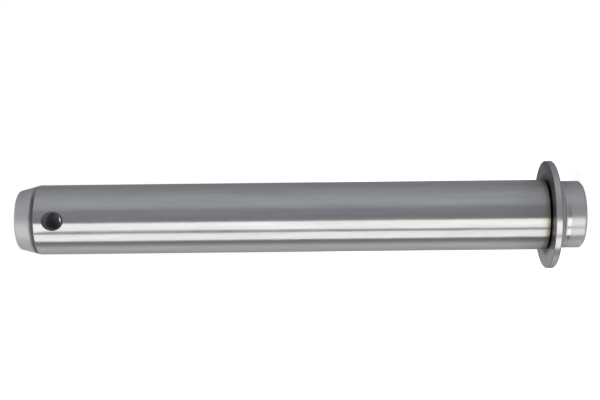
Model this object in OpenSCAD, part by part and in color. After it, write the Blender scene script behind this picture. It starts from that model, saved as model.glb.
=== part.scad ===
// Arm pin: a ground steel bar with a tapered nose and a welded stop collar.
// It stands on its head. The origin is the centre of the head's end face,
// and +Z runs along the bar's axis to the nose. The lock bolt's hole runs along Y.

/* [Shaft] */
// Diameter of the ground shaft, which turns in the arm's bushes
shaft_d = 50; // [46:0.5:60]
// Length from the collar's face to the end of the nose
grip_l = 377.5; // [200:0.5:600]
// Width of the relief groove where the ground surface ends, in front of the collar
relief_w = 1; // [0.8:0.1:2]
// Depth of the relief groove, on the radius
relief_depth = 0.5; // [0.3:0.05:0.7]

/* [Nose] */
// Length of the taper that leads the pin into its bushes
nose_l = 15; // [10:0.5:20]
// How far the taper falls below the shaft, on the radius
nose_drop = 4; // [2:0.1:7]
// Radius where the shaft runs into the taper
lead_round = 3; // [1:0.5:8]
// Radius round the nose's end face
nose_round = 2; // [1:0.1:5]

/* [Lock bolt hole] */
// Bore of the cross hole for the bolt that locks the pin
hole_d = 11.5; // [8:0.5:16]
// Distance from the end of the nose to the hole's axis
hole_to_end = 28; // [26:0.5:60]
// Depth of the bevel at both mouths, where the shaft is highest
hole_bevel = 2; // [1.2:0.1:3]

/* [Collar] */
// How far the stop collar stands out beyond the shaft, on the radius
collar_overhang = 13.5; // [8:0.5:30]
// Thickness of the stop collar
collar_t = 4.8; // [3.6:0.1:10]
// Radial clearance between the collar's bore and the shaft
collar_fit = 0.05; // [0.02:0.01:0.1]
// Bevel round the rim on the shaft's side
rim_bevel = 0.3; // [0.2:0.1:1.5]
// Bevel round the rim on the head's side
back_bevel = 0.7; // [0.2:0.1:2]

/* [Head] */
// Length of the head beyond the collar
head_l = 20.4; // [16:0.2:40]
// How far the head is turned down, on the radius, so that the collar passes over it
head_drop = 1.1; // [0.5:0.1:3]
// Bevel round the head's end face
head_bevel = 1.7; // [1:0.1:4]

/* [Weld] */
// Leg of the fillet weld, along the head and up the collar
weld_leg = 5.8; // [4:0.2:8]
// How far the weld's face bulges beyond a flat fillet
weld_crown = 0.5; // [0.2:0.1:0.8]

/* [Centre holes] */
// Mouth of the centre holes in both end faces
centre_mouth_d = 8.5; // [6:0.5:12]
// Pilot bore of the centre holes
centre_pilot_d = 4; // [2:0.5:5]
// Depth of the centre holes, to the end of the pilot's wall
centre_depth = 9; // [8:0.5:14]

/* [Hidden] */
$fn = 144;
// Cuts run this far past the surfaces that they open
overrun = 1;
// Straight steps in a rounded corner or the weld's face
arc_steps = 8;
// Included angles of the centre holes' cone and the pilot drill's point
centre_angle = 60;
point_angle = 118;

shaft_r = shaft_d / 2;
head_r = shaft_r - head_drop;
collar_r = shaft_r + collar_overhang;
hole_r = hole_d / 2;
centre_mouth_r = centre_mouth_d / 2;
centre_pilot_r = centre_pilot_d / 2;

// Heights above the head's end face
collar_back_z = head_l;
collar_face_z = collar_back_z + collar_t;
nose_z = collar_face_z + grip_l;
lead_z = nose_z - nose_l;
hole_z = nose_z - hole_to_end;

function unit(v) = v / norm(v);
function heading(v) = atan2(v.y, v.x);
// The short way round from one heading to another, between -180 and 180 degrees
function swing(from, to) = (to - from + 540) % 360 - 180;

// Points along an arc about a centre
function arc(centre, radius, from, turn) = [
    for (i = [0:arc_steps])
        let (angle = from + turn * i / arc_steps)
            centre + radius * [cos(angle), sin(angle)]
];

// The corner at b, between a and c, rounded by an arc that is tangent to both sides
function rounded(a, b, c, radius) =
    let (
        to_a = unit(a - b),
        to_c = unit(c - b),
        half = acos(to_a * to_c) / 2,
        reach = radius / tan(half),
        centre = b + unit(to_a + to_c) * radius / sin(half),
        from = heading(b + to_a * reach - centre),
        to = heading(b + to_c * reach - centre)
    )
    arc(centre, radius, from, swing(from, to));

// Half of the bar's section, as corners: a place on the radius and height, and a rounding
bar_corners = [
    [[0, 0], 0],
    [[head_r - head_bevel, 0], 0],
    [[head_r, head_bevel], 0],
    [[head_r, collar_back_z], 0],
    [[shaft_r, collar_back_z], 0],
    [[shaft_r, collar_face_z], 0],
    [[shaft_r - relief_depth, collar_face_z], 0],
    [[shaft_r - relief_depth, collar_face_z + relief_w - relief_depth], 0],
    [[shaft_r, collar_face_z + relief_w], 0],
    [[shaft_r, lead_z], lead_round],
    [[shaft_r - nose_drop, nose_z], nose_round],
    [[0, nose_z], 0]
];

bar_outline = [
    for (i = [0:len(bar_corners) - 1])
        let (corner = bar_corners[i][0], radius = bar_corners[i][1])
            each radius == 0
                ? [corner]
                : rounded(bar_corners[i - 1][0], corner, bar_corners[i + 1][0], radius)
];

// Section of the weld, from its root in the corner out to both toes
weld_root = [head_r, collar_back_z];
weld_collar_toe = [head_r + weld_leg, collar_back_z];
weld_head_toe = [head_r, collar_back_z - weld_leg];
weld_chord = norm(weld_collar_toe - weld_head_toe);
weld_face_r = (pow(weld_chord / 2, 2) + pow(weld_crown, 2)) / (2 * weld_crown);
weld_outward = unit((weld_collar_toe + weld_head_toe) / 2 - weld_root);
weld_face_centre = (weld_collar_toe + weld_head_toe) / 2 + weld_outward * (weld_crown - weld_face_r);
weld_from = heading(weld_collar_toe - weld_face_centre);
weld_to = heading(weld_head_toe - weld_face_centre);

// A 60 degree centre hole in a face at z = 0, with the metal above it
module centre_hole() {
    cone_slope = tan(centre_angle / 2);
    cone_l = (centre_mouth_r - centre_pilot_r) / cone_slope;
    point_l = centre_pilot_r / tan(point_angle / 2);
    rotate_extrude()
        polygon([
            [0, -overrun],
            [centre_mouth_r + overrun * cone_slope, -overrun],
            [centre_pilot_r, cone_l],
            [centre_pilot_r, centre_depth],
            [0, centre_depth + point_l]
        ]);
}

// The cross hole, with a bevel at each mouth
module lock_bolt_hole() {
    translate([0, 0, hole_z])
        rotate([90, 0, 0]) {
            cylinder(r = hole_r, h = shaft_d + overrun, center = true);
            for (side = [0, 1])
                mirror([0, 0, side])
                    translate([0, 0, shaft_r - hole_bevel])
                        cylinder(r1 = hole_r, r2 = hole_r + hole_bevel + overrun, h = hole_bevel + overrun);
        }
}

// The turned, hardened and ground bar: nose, shaft, relief groove and head in one
module pin_bar() {
    color([0.70, 0.70, 0.71])
        difference() {
            rotate_extrude() polygon(bar_outline);
            lock_bolt_hole();
            centre_hole();
            translate([0, 0, nose_z]) mirror([0, 0, 1]) centre_hole();
        }
}

// The stop collar: a turned disc that passes over the head and sits on the shaft's end
module collar() {
    bore_r = shaft_r + collar_fit;
    color([0.62, 0.62, 0.64])
        rotate_extrude()
            polygon([
                [bore_r, collar_back_z],
                [collar_r - back_bevel, collar_back_z],
                [collar_r, collar_back_z + back_bevel],
                [collar_r, collar_face_z - rim_bevel],
                [collar_r - rim_bevel, collar_face_z],
                [bore_r, collar_face_z]
            ]);
}

// The fillet weld that joins the collar's back to the head
module weld_bead() {
    color([0.50, 0.50, 0.51])
        rotate_extrude()
            polygon(concat(
                [weld_root],
                arc(weld_face_centre, weld_face_r, weld_from, swing(weld_from, weld_to))
            ));
}

pin_bar();
collar();
weld_bead();
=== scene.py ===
import math

import bpy
from mathutils import Matrix, Vector


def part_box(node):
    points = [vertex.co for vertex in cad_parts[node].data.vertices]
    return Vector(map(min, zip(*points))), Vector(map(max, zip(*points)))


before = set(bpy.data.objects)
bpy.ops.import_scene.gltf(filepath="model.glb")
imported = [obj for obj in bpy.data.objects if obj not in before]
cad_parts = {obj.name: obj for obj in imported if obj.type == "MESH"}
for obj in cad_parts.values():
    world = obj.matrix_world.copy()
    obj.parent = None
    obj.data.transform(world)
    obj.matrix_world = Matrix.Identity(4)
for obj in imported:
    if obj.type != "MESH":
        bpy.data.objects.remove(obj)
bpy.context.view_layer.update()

# Looks, lamps and camera for the arm pin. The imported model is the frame: metres, the head's
# end face on z = 0, the nose up, the lock bolt's hole along Y. The photograph lies on its
# side, so the camera is rolled: up in the picture is +X, and the nose is on the left.

MM = 0.001
NOSE_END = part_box("pin_bar")[1].z
COLLAR_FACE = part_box("collar")[1].z


# The camera, as fitted to the outline in the photograph. Its lens and sensor are in
# millimetres, and the nearest and farthest that it sees are in metres.

CAMERA_AT = Vector((31.02, -780.41, 192.98)) * MM
CAMERA_RIGHT = Vector((-0.011318, 0.010056, -0.999885))
CAMERA_UP = Vector((0.999651, 0.024000, -0.011074))
CAMERA_LENS = 64.999
SENSOR = 36.0
CAMERA_NEAR = 0.01
CAMERA_FAR = 50.0


def make_camera():
    data = bpy.data.cameras.new("camera")
    data.sensor_fit = "HORIZONTAL"
    data.sensor_width = SENSOR
    data.lens = CAMERA_LENS
    data.clip_start = CAMERA_NEAR
    data.clip_end = CAMERA_FAR
    camera = bpy.data.objects.new("camera", data)
    right = CAMERA_RIGHT.normalized()
    back = right.cross(CAMERA_UP).normalized()
    up = back.cross(right)
    camera.matrix_world = Matrix((
        (right.x, up.x, back.x, CAMERA_AT.x),
        (right.y, up.y, back.y, CAMERA_AT.y),
        (right.z, up.z, back.z, CAMERA_AT.z),
        (0.0, 0.0, 0.0, 1.0),
    ))
    bpy.context.scene.collection.objects.link(camera)
    bpy.context.scene.camera = camera


class Graph:
    """Short ways to add nodes to one material or world."""

    def __init__(self, owner):
        owner.use_nodes = True
        self.owner = owner
        self.tree = owner.node_tree
        self.tree.nodes.clear()

    def add(self, kind, inputs=None, **settings):
        node = self.tree.nodes.new(kind)
        for name, value in settings.items():
            setattr(node, name, value)
        for name, value in (inputs or {}).items():
            self.put(node.inputs[name], value)
        return node

    def put(self, socket, value):
        if isinstance(value, bpy.types.NodeSocket):
            self.tree.links.new(value, socket)
        elif value is not None:
            socket.default_value = value

    def math(self, operation, a, b=None, c=None):
        node = self.add("ShaderNodeMath", operation=operation)
        for socket, value in zip(node.inputs, (a, b, c)):
            self.put(socket, value)
        return node.outputs[0]

    def product(self, a, b):
        """Where two masks meet, or a mask made weaker by a number."""
        return self.math("MULTIPLY", a, b)

    def step(self, value, start, end, low=0.0, high=1.0):
        """Goes smoothly from low to high while value goes from start to end."""
        if end < start:
            start, end, low, high = end, start, high, low
        node = self.add("ShaderNodeMapRange", interpolation_type="SMOOTHSTEP")
        for socket, number in zip(node.inputs, (value, start, end, low, high)):
            self.put(socket, number)
        return node.outputs[0]

    def between(self, value, start, end, soft):
        """1 between start and end, and 0 outside, with edges that are soft wide."""
        rise = self.step(value, start - soft / 2, start + soft / 2)
        fall = self.step(value, end - soft / 2, end + soft / 2, 1.0, 0.0)
        return self.product(rise, fall)

    def blend(self, factor, a, b):
        """Numbers mixed by a factor."""
        node = self.add("ShaderNodeMix", data_type="FLOAT")
        for socket, value in zip(node.inputs[:4], (factor, None, a, b)):
            self.put(socket, value)
        return node.outputs[0]

    def tint(self, factor, a, b, how="MIX"):
        """Colours mixed by a factor."""
        node = self.add("ShaderNodeMix", data_type="RGBA", blend_type=how)
        self.put(node.inputs[0], factor)
        self.put(node.inputs[6], a)
        self.put(node.inputs[7], b)
        return node.outputs[2]

    def times(self, a, b):
        """Two colours multiplied."""
        return self.tint(1.0, a, b, "MULTIPLY")

    def ramp(self, value, stops):
        node = self.add("ShaderNodeValToRGB", {"Fac": value})
        points = node.color_ramp.elements
        while len(points) < len(stops):
            points.new(0.5)
        for point, (place, colour) in zip(points, stops):
            point.position = place
            point.color = rgba(colour)
        return node.outputs["Color"]


def grey(level, tone=(1.0, 1.0, 1.0)):
    return tuple(level * part for part in tone)


def rgba(colour):
    return (*colour, 1.0)


# Studio: a pale floor, two tall soft lamps and the grey walls that the steel mirrors

WHITE = grey(1.0)
# How strongly the white world lights the object, where 1 is as strongly as it looks
AMBIENT = 0.6
# The floor's own paleness, and the glow that lifts it to white where it is seen
FLOOR_WIDE = 40.0
FLOOR_PALE = 0.8
FLOOR_LIFT = 0.78
# The round wall, in metres
WALL_R = 1.0
WALL_LOW = -2.2
WALL_HIGH = 2.6
WALL_SIDES = 72
# A dim strip round it, which darkens the shaft beside the collar as in the photograph: its
# lower and upper edge and how soft they are, in metres, and its share of the walls' glow
STRIP = (-0.23, -0.165, 0.06)
STRIP_GLOW = 0.5
# The tones of the walls
NEUTRAL = (0.99, 0.99, 1.01)
COOL = (0.965, 0.985, 1.03)
# What the walls look like, as (direction, grey, tone): degrees from -Y towards -X
WALL_GREYS = (
    (-180, 0.16, COOL), (-164, 0.22, COOL), (-148, 0.30, COOL), (-128, 0.31, COOL),
    (-110, 0.37, COOL), (-90, 0.43, COOL), (-70, 0.51, COOL), (-50, 0.54, COOL),
    (-38, 0.49, COOL), (-28, 0.35, COOL), (-15, 0.35, COOL), (-3, 0.31, COOL),
    (6, 0.31, COOL), (40, 0.20, COOL), (50, 0.20, COOL), (76, 0.24, NEUTRAL),
    (84, 0.25, NEUTRAL), (92, 0.36, NEUTRAL), (99, 0.56, NEUTRAL), (107, 0.66, NEUTRAL),
    (118, 0.62, NEUTRAL), (130, 0.54, NEUTRAL), (146, 0.45, NEUTRAL), (162, 0.30, NEUTRAL),
    (167, 0.82, NEUTRAL), (175, 0.82, NEUTRAL), (178, 0.18, COOL),
)
# The tones of the lamps
WARM = (1.0, 0.985, 0.93)
PLAIN = (0.95, 0.935, 0.93)
# The two lamps: their first and last direction, and tone
LAMPS = ((10.9, 40.4, WARM), (46.6, 73.6, PLAIN))
# How far from the pin's axis and how tall they are, and how bright they look, where 1 is white
LAMP_FAR = 0.85
LAMP_TALL = 2.4
LAMP_LEVEL = 1.3


def seen_rays(graph):
    """1 for the rays that see the background: the camera's, mirrored and passed on ones."""
    path = graph.add("ShaderNodeLightPath")
    seen = graph.math("MAXIMUM", path.outputs["Is Camera Ray"], path.outputs["Is Glossy Ray"])
    return graph.math("MAXIMUM", seen, path.outputs["Is Transmission Ray"])


def make_world():
    """White where it is seen, and a weaker light on the object."""
    world = bpy.data.worlds.new("white_world")
    bpy.context.scene.world = world
    graph = Graph(world)
    strength = graph.blend(seen_rays(graph), AMBIENT, 1.0)
    background = graph.add("ShaderNodeBackground", {"Color": rgba(WHITE), "Strength": strength})
    output = graph.add("ShaderNodeOutputWorld")
    graph.put(output.inputs["Surface"], background.outputs[0])


def make_mesh(name, points, faces, material):
    mesh = bpy.data.meshes.new(name)
    mesh.from_pydata(points, [], faces)
    mesh.materials.append(material)
    thing = bpy.data.objects.new(name, mesh)
    bpy.context.scene.collection.objects.link(thing)
    return thing


def floor_material():
    """Pale and matt, lifted to white for the rays that see the background."""
    material = bpy.data.materials.new("floor_white")
    graph = Graph(material)
    pale = graph.add("ShaderNodeBsdfDiffuse", {"Color": rgba(grey(FLOOR_PALE))})
    lift = graph.add("ShaderNodeEmission", {
        "Strength": graph.product(seen_rays(graph), FLOOR_LIFT)})
    both = graph.add("ShaderNodeAddShader")
    graph.put(both.inputs[0], pale.outputs[0])
    graph.put(both.inputs[1], lift.outputs[0])
    output = graph.add("ShaderNodeOutputMaterial")
    graph.put(output.inputs["Surface"], both.outputs[0])
    return material


def make_floor():
    half = FLOOR_WIDE / 2
    corners = [(-half, -half, 0), (half, -half, 0), (half, half, 0), (-half, half, 0)]
    floor = make_mesh("floor", corners, [(0, 1, 2, 3)], floor_material())
    floor.visible_glossy = False
    floor.visible_shadow = False


def heading(degrees):
    """The level direction so many degrees from -Y towards -X."""
    angle = math.radians(degrees)
    return Vector((-math.sin(angle), -math.cos(angle), 0.0))


def wall_material():
    """A grey glow that changes with the direction, and is weaker in the strip."""
    material = bpy.data.materials.new("wall_grey")
    graph = Graph(material)
    place = graph.add("ShaderNodeTexCoord").outputs["Object"]
    parts = graph.add("ShaderNodeSeparateXYZ", {"Vector": place})
    back_x = graph.product(parts.outputs["X"], -1.0)
    back_y = graph.product(parts.outputs["Y"], -1.0)
    angle = graph.math("ARCTAN2", back_x, back_y)
    turn = graph.math("MULTIPLY_ADD", angle, 0.5 / math.pi, 0.5)
    stops = [((degrees + 180) / 360, grey(level, tone)) for degrees, level, tone in WALL_GREYS]
    strip = graph.between(parts.outputs["Z"], *STRIP)
    glow = graph.add("ShaderNodeEmission", {
        "Color": graph.ramp(turn, stops),
        "Strength": graph.blend(strip, 1.0, STRIP_GLOW)})
    output = graph.add("ShaderNodeOutputMaterial")
    graph.put(output.inputs["Surface"], glow.outputs[0])
    return material


def make_walls():
    """A round wall, closed at the bottom, which the steel mirrors and the camera can't see."""
    sides = range(WALL_SIDES)
    points = []
    for height in (WALL_LOW, WALL_HIGH):
        for side in sides:
            foot = heading(360 * side / WALL_SIDES) * WALL_R
            points.append((foot.x, foot.y, height))
    points.append((0.0, 0.0, WALL_LOW))
    bottom = len(points) - 1
    following = [(side + 1) % WALL_SIDES for side in sides]
    faces = [(i, following[i], following[i] + WALL_SIDES, i + WALL_SIDES) for i in sides]
    faces += [(bottom, following[i], i) for i in sides]
    walls = make_mesh("walls", points, faces, wall_material())
    walls.visible_camera = False


def make_lamps():
    """Tall lamps on a circle round the pin, which face it and are hidden from the camera."""
    for number, (first, last, tone) in enumerate(LAMPS):
        data = bpy.data.lights.new("soft_lamp", "AREA")
        data.shape = "RECTANGLE"
        data.size = 2 * LAMP_FAR * math.tan(math.radians((last - first) / 2))
        data.size_y = LAMP_TALL
        data.energy = LAMP_LEVEL * math.pi * data.size * data.size_y
        data.color = tone
        lamp = bpy.data.objects.new("soft_lamp_%d" % number, data)
        out = heading((first + last) / 2)
        lamp.location = out * LAMP_FAR + Vector((0.0, 0.0, NOSE_END / 2))
        lamp.rotation_mode = "QUATERNION"
        lamp.rotation_quaternion = out.to_track_quat("Z", "Y")
        lamp.visible_camera = False
        bpy.context.scene.collection.objects.link(lamp)


# Steel: colours

SHAFT_STEEL = (0.555, 0.555, 0.565)
NOSE_STEEL = (0.605, 0.61, 0.625)
HEAD_STEEL = (0.60, 0.595, 0.61)
RING_STEEL = (0.67, 0.665, 0.67)
RIM_STEEL = (0.62, 0.615, 0.63)
FACE_STEEL = (0.185, 0.182, 0.184)
# Heat scale and painted shade on the collar's face next to the shaft
FACE_SCORCH_AND_SHADE = (0.06, 0.058, 0.056)
# Dull steel of the collar's bevels, also the painted shade in the weld's valley
EDGE_STEEL_AND_SHADE = (0.26, 0.26, 0.265)
WELD_STEEL = (0.60, 0.60, 0.605)
# Dark scale and painted shade in the cross hole: its bevels, and the bore inside
EYE_SCALE_AND_SHADE = (0.095, 0.098, 0.112)
BORE_SCALE_AND_SHADE = (0.26, 0.257, 0.265)
OXIDE = (0.085, 0.078, 0.072)
BROWN = (0.30, 0.24, 0.19)
# Painted shade: near black in the relief groove beside the collar
GROOVE_SHADE = (0.02, 0.019, 0.018)
# Heat tints, which the shaft's own colour is multiplied by. The second is partly painted shade,
# which darkens the shaft towards the collar.
STRAW = (1.0, 0.96, 0.86)
OLIVE_AND_SHADE = (0.94, 0.93, 0.91)
# The share of its colour that a weaker mark takes
FRINGE_SHARE = 0.6
OXIDE_SHARE = 0.95
VALLEY_SHARE = 0.5

# Steel: where the marks are, in millimetres. Two numbers are a soft edge, from no mark to the
# full mark. Three are the start and end of a band, and how wide its soft edges are.

# From the nose's end. The nose's marks drift in and out by half of NOSE_DRIFT.
MATT_EDGE = (12.2, 10.8)
OXIDE_START = (11.2, 12.9)
OXIDE_STOP = (15.0, 14.3)
FRINGE = (10.9, 12.5, 1.3)
NOSE_DRIFT = 1.2
# From the collar's face towards the nose
STRAW_EDGE = (9.0, 1.5)
# Where the second tint and its painted shade grow towards the collar
OLIVE_AND_SHADE_EDGE = (9.0, 3.0)
GROOVE = (-0.2, 1.1, 0.3)
HEAD_EDGE = (-5.2, -5.5)
# Painted shade in the weld's valley by the head
VALLEY = (-10.5, -8.6, 1.2)
HEAD_RING = (-13.9, -11.3, 0.9)
# From the pin's axis
SKIN_EDGE = (24.97, 24.93)
# The collar's face darkens towards the shaft: heat scale and painted shade
SCORCH_AND_SHADE_EDGE = (31.0, 26.0)
# From the cross hole's axis, which is HOLE_TO_END from the nose's end
HOLE_TO_END = 28.0
EYE_EDGE = (9.1, 8.9)
BORE_EDGE = (5.86, 5.8)
# Along +X, which is up in the picture. At the top, the oxide is as faint as OXIDE_FAINT.
OXIDE_TOP = (24.0, 13.0)
OXIDE_FAINT = 0.35
FRINGE_SIDE = (-19.0, 7.0, 10.0)
# The valley's painted shade stops towards the top
VALLEY_TOP = (17.0, 6.0)
# By how far the surface faces along Z, from 0 to 1, in place of millimetres
END_TURN = (0.90, 0.97)
FACE_TURN = (0.8, 0.95)
BEVEL_TURN = (0.3, 0.93, 0.1)

# Steel: patterns, as (cells a metre along Z, cells a metre on X and Y, detail, roughness)

NOSE_WOBBLE = (90.0, 90.0, 3.0, 0.5)
STREAKS = (16.0, 170.0, 5.0, 0.72)
WAVES = (45.0, 160.0, 2.0, 0.5)
BAR_LINES = (2600.0, 14.0, 3.0, 0.6)
BAR_BLOTCH = (30.0, 60.0, 3.0, 0.6)
COLLAR_LINES = (3000.0, 12.0, 2.0, 0.5)
COLLAR_BLOTCH = (160.0, 160.0, 4.0, 0.6)
WELD_GRAIN = (700.0, 700.0, 4.0, 0.6)
WELD_BLOTCH = (120.0, 120.0, 3.0, 0.6)
# Turned rings on flat faces, in radians a millimetre of radius
BAR_RINGS = 14.0
COLLAR_RINGS = 20.0
# How much a pattern changes the colour, from the darkest to the lightest
STREAK_SWING = 0.44
COLLAR_SWING = 0.3
WELD_SWING = 0.5
# How deep a pattern is, in millimetres
WAVE_DEPTH = 0.03
LINE_DEPTH = 0.012
GRAIN_DEPTH = 0.08

# Steel: roughness. Two numbers are the least, and how much a pattern adds to it.

GROUND_ROUGH = (0.12, 0.08)
HEAD_ROUGH = (0.20, 0.10)
COLLAR_ROUGH = (0.15, 0.10)
WELD_ROUGH = (0.42, 0.20)
RING_ROUGH = 0.17
MATT_ROUGH = 0.5
OXIDE_ROUGH = 0.6
END_ROUGH = 0.34
EYE_ROUGH = 0.5
BORE_ROUGH = 0.6
SCORCH_AND_SHADE_ROUGH = 0.09
EDGE_ROUGH = 0.45
# How metallic the duller finishes are: the oxide and the hole, the head, and the collar's rim
OXIDE_METAL = 0.35
HEAD_METAL = 0.7
RIM_METAL = 0.85
# How bright the scorched ring, darkened further as painted shade, is where it is seen at a
# glancing angle
SCORCH_AND_SHADE_GLANCE = 0.6


class Surface(Graph):
    """One steel material, with the places in millimetres that its marks go by."""

    def __init__(self, name):
        super().__init__(bpy.data.materials.new(name))
        coordinates = self.add("ShaderNodeTexCoord")
        self.place = coordinates.outputs["Object"]
        x, y, z = self.add("ShaderNodeSeparateXYZ", {"Vector": self.place}).outputs
        facing = self.add("ShaderNodeSeparateXYZ", {"Vector": coordinates.outputs["Normal"]})
        self.upright = self.math("ABSOLUTE", facing.outputs["Z"])
        self.up = self.math("DIVIDE", x, MM)
        self.radius = self.hypot(self.up, self.math("DIVIDE", y, MM))
        self.from_nose = self.math("MULTIPLY_ADD", z, -1 / MM, NOSE_END / MM)
        self.from_collar = self.math("MULTIPLY_ADD", z, 1 / MM, -COLLAR_FACE / MM)

    def hypot(self, a, b):
        squares = self.math("ADD", self.product(a, a), self.product(b, b))
        return self.math("SQRT", squares)

    def pattern(self, along, around, detail, rough):
        """Noise with so many cells a metre along Z, and around it on X and Y."""
        scaled = self.add("ShaderNodeVectorMath", operation="MULTIPLY")
        self.put(scaled.inputs[0], self.place)
        self.put(scaled.inputs[1], (around, around, along))
        noise = self.add("ShaderNodeTexNoise", {
            "Vector": scaled.outputs[0], "Scale": 1.0, "Detail": detail, "Roughness": rough})
        return noise.outputs["Fac"]

    def rings(self, turn):
        """Rings round the axis, by their radians a millimetre."""
        return self.math("SINE", self.product(self.radius, turn))

    def vary(self, pattern, least, extra):
        """A number that a pattern raises from the least by up to the extra."""
        return self.math("MULTIPLY_ADD", pattern, extra, least)

    def shaded(self, colour, pattern, swing):
        """A colour that a pattern makes up to half the swing darker or lighter."""
        level = self.vary(pattern, 1.0 - swing / 2, swing)
        shade = self.add("ShaderNodeCombineColor", {"Red": level, "Green": level, "Blue": level})
        return self.times(colour, shade.outputs[0])

    def bump(self, height, depth, under=None):
        """Height in shares of a depth in millimetres, on top of another bump."""
        node = self.add("ShaderNodeBump", {
            "Height": height, "Distance": depth * MM, "Normal": under})
        return node.outputs["Normal"]

    def finish(self, colour, roughness, normal, metallic=1.0, glancing=None):
        """Joins all to the output. Glancing colours what is seen at a glancing angle."""
        shader = self.add("ShaderNodeBsdfPrincipled", {
            "Base Color": colour, "Roughness": roughness, "Normal": normal,
            "Metallic": metallic, "Specular Tint": glancing})
        output = self.add("ShaderNodeOutputMaterial")
        self.put(output.inputs["Surface"], shader.outputs[0])
        return self.owner


class BarSurface(Surface):
    """The bar's steel, with a mask for each of its marks and finishes."""

    def __init__(self, name):
        super().__init__(name)
        self.mark_nose()
        self.mark_collar_end()
        self.mark_hole()
        self.end_face = self.step(self.upright, *END_TURN)
        self.blotch = self.pattern(*BAR_BLOTCH)

    def mark_nose(self):
        """The matt turned nose, the oxide line at its shoulder and the brown fringe."""
        drift = self.vary(self.pattern(*NOSE_WOBBLE), -NOSE_DRIFT / 2, NOSE_DRIFT)
        drifting = self.math("ADD", self.from_nose, drift)
        self.matt = self.step(drifting, *MATT_EDGE)
        line = self.product(self.step(drifting, *OXIDE_START),
                            self.step(self.from_nose, *OXIDE_STOP))
        self.oxide = self.product(line, self.step(self.up, *OXIDE_TOP, OXIDE_FAINT, 1.0))
        self.fringe = self.product(self.between(drifting, *FRINGE),
                                   self.between(self.up, *FRINGE_SIDE))

    def mark_collar_end(self):
        """The heat tints, partly painted shade beside the collar, the groove with its painted
        shade, and the head with its ring.
        """
        self.straw = self.step(self.from_collar, *STRAW_EDGE)
        self.olive_and_shade = self.step(self.from_collar, *OLIVE_AND_SHADE_EDGE)
        self.groove = self.between(self.from_collar, *GROOVE)
        self.head = self.step(self.from_collar, *HEAD_EDGE)
        self.ring = self.product(self.head, self.between(self.from_collar, *HEAD_RING))
        self.bevel = self.product(self.head, self.between(self.upright, *BEVEL_TURN))

    def mark_hole(self):
        """The cross hole with its bevels, and the bore inside it."""
        along = self.math("SUBTRACT", self.from_nose, HOLE_TO_END)
        bolt_way = self.hypot(self.up, along)
        below_skin = self.step(self.radius, *SKIN_EDGE)
        self.eye = self.product(self.step(bolt_way, *EYE_EDGE), below_skin)
        self.bore = self.product(self.eye, self.step(bolt_way, *BORE_EDGE))


def bar_colour(g):
    colour = g.shaded(rgba(SHAFT_STEEL), g.pattern(*STREAKS), STREAK_SWING)
    colour = g.tint(g.straw, colour, g.times(colour, rgba(STRAW)))
    # Partly heat tint, partly painted shade darkening the shaft beside the collar
    colour = g.tint(g.olive_and_shade, colour, g.times(colour, rgba(OLIVE_AND_SHADE)))
    for mask, finish in (
        (g.matt, NOSE_STEEL),
        (g.product(g.fringe, FRINGE_SHARE), BROWN),
        (g.product(g.oxide, OXIDE_SHARE), OXIDE),
        (g.head, HEAD_STEEL),
        (g.ring, RING_STEEL),
        # painted shade in the relief groove
        (g.groove, GROOVE_SHADE),
        # scale and painted shade in the cross hole
        (g.eye, EYE_SCALE_AND_SHADE),
        (g.bore, BORE_SCALE_AND_SHADE),
    ):
        colour = g.tint(mask, colour, rgba(finish))
    return colour


def bar_roughness(g):
    rough = g.vary(g.blotch, *GROUND_ROUGH)
    for mask, level in (
        (g.head, g.vary(g.blotch, *HEAD_ROUGH)),
        (g.ring, RING_ROUGH),
        (g.matt, MATT_ROUGH),
        (g.oxide, OXIDE_ROUGH),
        (g.math("MAXIMUM", g.end_face, g.bevel), END_ROUGH),
        (g.eye, EYE_ROUGH),
        (g.bore, BORE_ROUGH),
    ):
        rough = g.blend(mask, rough, level)
    return rough


def bar_relief(g):
    """Faint waves along the shaft, with fine turned lines, or rings on the end faces."""
    waves = g.bump(g.pattern(*WAVES), WAVE_DEPTH)
    lines = g.blend(g.end_face, g.pattern(*BAR_LINES), g.rings(BAR_RINGS))
    return g.bump(lines, LINE_DEPTH, waves)


def bar_metal(g):
    metal = g.blend(g.math("MAXIMUM", g.eye, g.oxide), 1.0, OXIDE_METAL)
    plain_head = g.math("SUBTRACT", g.head, g.ring)
    return g.blend(plain_head, metal, HEAD_METAL)


def bar_material():
    """Ground shaft, matt nose, oxide line, heat tint with painted shade beside the collar,
    relief groove with painted shade, scale and painted shade in the cross hole, head and end
    faces.
    """
    g = BarSurface("bar_steel")
    return g.finish(bar_colour(g), bar_roughness(g), bar_relief(g), bar_metal(g))


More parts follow.
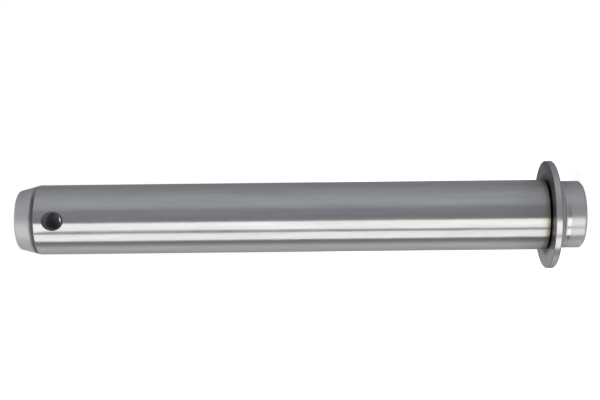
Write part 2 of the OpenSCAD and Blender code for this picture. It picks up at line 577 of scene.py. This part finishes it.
def collar_material():
    """Turned disc: rings on its faces, fine lines round its rim, scorched by the shaft and
    darkened next to it as painted shade.
    """
    g = Surface("collar_steel")
    face = g.step(g.upright, *FACE_TURN)
    bevel = g.between(g.upright, *BEVEL_TURN)
    # Heat scale and painted shade, darker towards the shaft
    scorch_and_shade = g.product(face, g.step(g.radius, *SCORCH_AND_SHADE_EDGE))
    blotch = g.pattern(*COLLAR_BLOTCH)

    colour = g.tint(face, rgba(RIM_STEEL), rgba(FACE_STEEL))
    colour = g.tint(scorch_and_shade, colour, rgba(FACE_SCORCH_AND_SHADE))
    colour = g.tint(bevel, colour, rgba(EDGE_STEEL_AND_SHADE))
    colour = g.shaded(colour, blotch, COLLAR_SWING)

    rough = g.vary(blotch, *COLLAR_ROUGH)
    rough = g.blend(scorch_and_shade, rough, SCORCH_AND_SHADE_ROUGH)
    rough = g.blend(bevel, rough, EDGE_ROUGH)

    lines = g.blend(face, g.pattern(*COLLAR_LINES), g.rings(COLLAR_RINGS))
    metal = g.blend(face, RIM_METAL, 1.0)
    glancing = g.tint(scorch_and_shade, rgba(WHITE), rgba(grey(SCORCH_AND_SHADE_GLANCE)))
    return g.finish(colour, rough, g.bump(lines, LINE_DEPTH), metal, glancing)


def weld_material():
    """Dull grey weld metal, brushed, with painted shade in the valley by the head, which stops
    towards the top.
    """
    g = Surface("weld_steel")
    grain = g.pattern(*WELD_GRAIN)
    # Painted shade: darker in the valley by the head, but not at the top
    valley = g.product(g.between(g.from_collar, *VALLEY), g.step(g.up, *VALLEY_TOP))
    colour = g.tint(g.product(valley, VALLEY_SHARE), rgba(WELD_STEEL), rgba(EDGE_STEEL_AND_SHADE))
    colour = g.shaded(colour, g.pattern(*WELD_BLOTCH), WELD_SWING)
    return g.finish(colour, g.vary(grain, *WELD_ROUGH), g.bump(grain, GRAIN_DEPTH))


def dress(node, material):
    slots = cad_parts[node].data.materials
    slots.clear()
    slots.append(material)


make_camera()
make_world()
make_floor()
make_walls()
make_lamps()
dress("pin_bar", bar_material())
dress("collar", collar_material())
dress("weld_bead", weld_material())

bpy.context.scene.view_settings.view_transform = "Standard"
